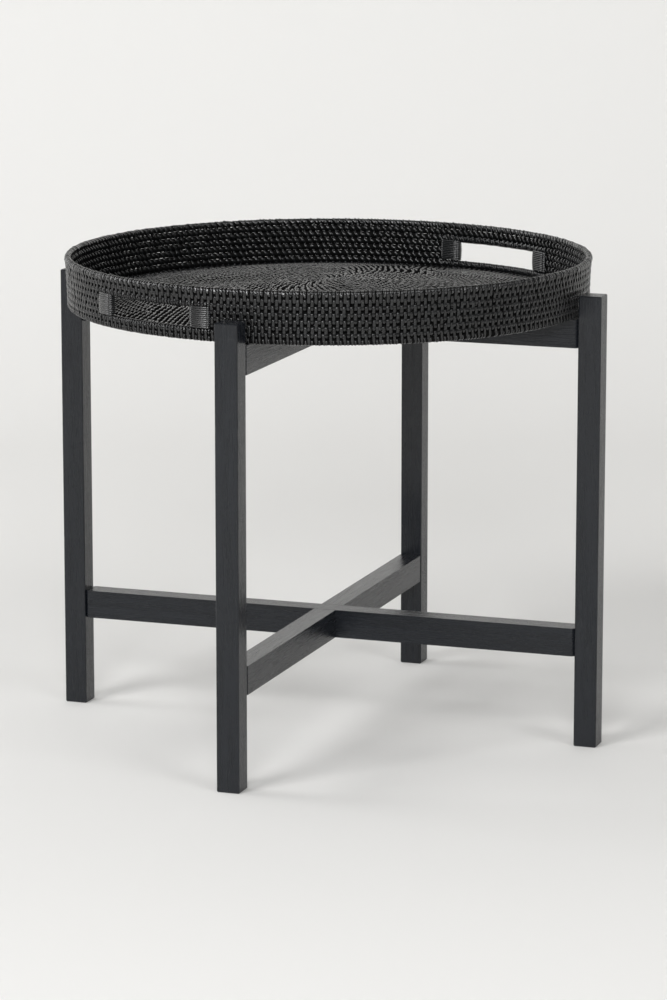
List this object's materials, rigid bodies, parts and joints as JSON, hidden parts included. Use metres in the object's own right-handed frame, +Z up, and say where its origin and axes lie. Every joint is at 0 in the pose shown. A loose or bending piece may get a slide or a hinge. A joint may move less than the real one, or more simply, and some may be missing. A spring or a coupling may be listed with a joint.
{
  "type": "folding tray table",
  "caption": "Round side table: a coiled rattan tray with hand holes lifts off a black wooden cross stand whose front and back wings fold flat against the long frame.",
  "frame": {"origin": "on the floor, in the middle between the four legs", "axes": "+Z up; X along the rigid long frame, from the left leg to the right leg; -Y towards the front wing"},
  "size_m": [0.605, 0.613, 0.5105],
  "materials": {
    "stained_wood": "black-stained open-grain hardwood, satin",
    "rattan": "rattan core and split cane, dyed and lacquered black, semi-gloss",
    "dowel_wood": "plain beech, unfinished",
    "hinge_leaf": "blackened steel, matt",
    "hinge_steel": "blackened steel, satin"
  },
  "bodies": {
    "stand": {"leg_left": "stained_wood", "leg_right": "stained_wood", "long_lower_rail": "stained_wood", "long_upper_rail": "stained_wood", "long_frame_dowels": "dowel_wood", "long_frame_hinge_screws": "hinge_steel", "front_lower_hinge_fixed_leaf": "hinge_leaf", "front_lower_hinge_pin": "hinge_steel", "front_upper_hinge_fixed_leaf": "hinge_leaf", "front_upper_hinge_pin": "hinge_steel", "back_lower_hinge_fixed_leaf": "hinge_leaf", "back_lower_hinge_pin": "hinge_steel", "back_upper_hinge_fixed_leaf": "hinge_leaf", "back_upper_hinge_pin": "hinge_steel"},
    "front_wing": {"leg_front": "stained_wood", "front_lower_rail": "stained_wood", "front_upper_rail": "stained_wood", "front_wing_dowels": "dowel_wood", "front_wing_hinge_screws": "hinge_steel", "front_lower_hinge_moving_leaf": "hinge_leaf", "front_upper_hinge_moving_leaf": "hinge_leaf"},
    "back_wing": {"leg_back": "stained_wood", "back_lower_rail": "stained_wood", "back_upper_rail": "stained_wood", "back_wing_dowels": "dowel_wood", "back_wing_hinge_screws": "hinge_steel", "back_lower_hinge_moving_leaf": "hinge_leaf", "back_upper_hinge_moving_leaf": "hinge_leaf"},
    "tray": {"tray_floor": "rattan", "wall_base_coil": "rattan", "side_wall_left": "rattan", "side_wall_right": "rattan", "wall_top_coils": "rattan", "tray_rim": "rattan", "right_handle_near_post": "rattan", "right_handle_far_post": "rattan", "left_handle_near_post": "rattan", "left_handle_far_post": "rattan"}
  },
  "joints": [
    {"name": "front_wing_fold", "type": "hinge", "parent": "stand", "child": "front_wing", "pos_m": [-0.0147, -0.0123, 0.2761], "axis": [0, 0, -1], "range_deg": [0, 90]},
    {"name": "back_wing_fold", "type": "hinge", "parent": "stand", "child": "back_wing", "pos_m": [0.0147, 0.0123, 0.2761], "axis": [0, 0, -1], "range_deg": [0, 90]},
    {"name": "tray_lift", "type": "slide", "parent": "stand", "child": "tray", "axis": [0, 0, 1], "range_m": [0, 0.25]}
  ]
}
